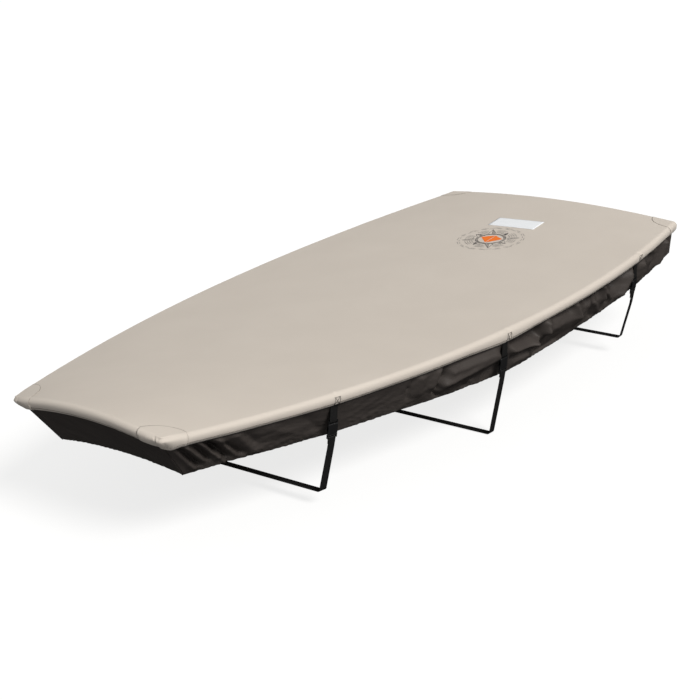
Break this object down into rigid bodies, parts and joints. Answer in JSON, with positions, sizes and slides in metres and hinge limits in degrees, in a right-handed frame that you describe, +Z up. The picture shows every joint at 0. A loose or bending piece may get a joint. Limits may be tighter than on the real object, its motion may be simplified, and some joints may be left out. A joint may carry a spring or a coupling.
{
  "type": "fitted boat cover for a pram dinghy",
  "caption": "Fitted deck cover for a small pram dinghy: taut canvas top rolled over the gunwale, gathered dark skirt, corner patches, name patch, and belly straps with side-release buckles.",
  "frame": {"origin": "on the underside of the canvas top, halfway along the boat and on its centreline, where the top lies over the boat", "axes": "+X aft, from the narrow bow to the wide stern; +Y to starboard; +Z up. The buckles are on the port side, at -Y"},
  "size_m": [2.3505, 1.1774, 0.4203],
  "materials": {
    "canvas": "matte",
    "skirt_nylon": "satin",
    "webbing": "satin",
    "buckle": "matte",
    "name_patch": "matte"
  },
  "bodies": {
    "root": {"top_panel": "canvas", "skirt_port": "skirt_nylon", "skirt_starboard": "skirt_nylon", "skirt_bow": "skirt_nylon", "skirt_stern": "skirt_nylon", "corner_patch_bow_port": "canvas", "corner_patch_bow_starboard": "canvas", "corner_patch_stern_port": "canvas", "corner_patch_stern_starboard": "canvas", "name_patch": "name_patch", "strap_1": "webbing", "strap_tab_1": "webbing", "buckle_socket_1": "buckle", "buckle_plug_1": "buckle", "strap_2": "webbing", "strap_tab_2": "webbing", "buckle_socket_2": "buckle", "buckle_plug_2": "buckle", "strap_3": "webbing", "strap_tab_3": "webbing", "buckle_socket_3": "buckle", "buckle_plug_3": "buckle"}
  },
  "joints": []
}
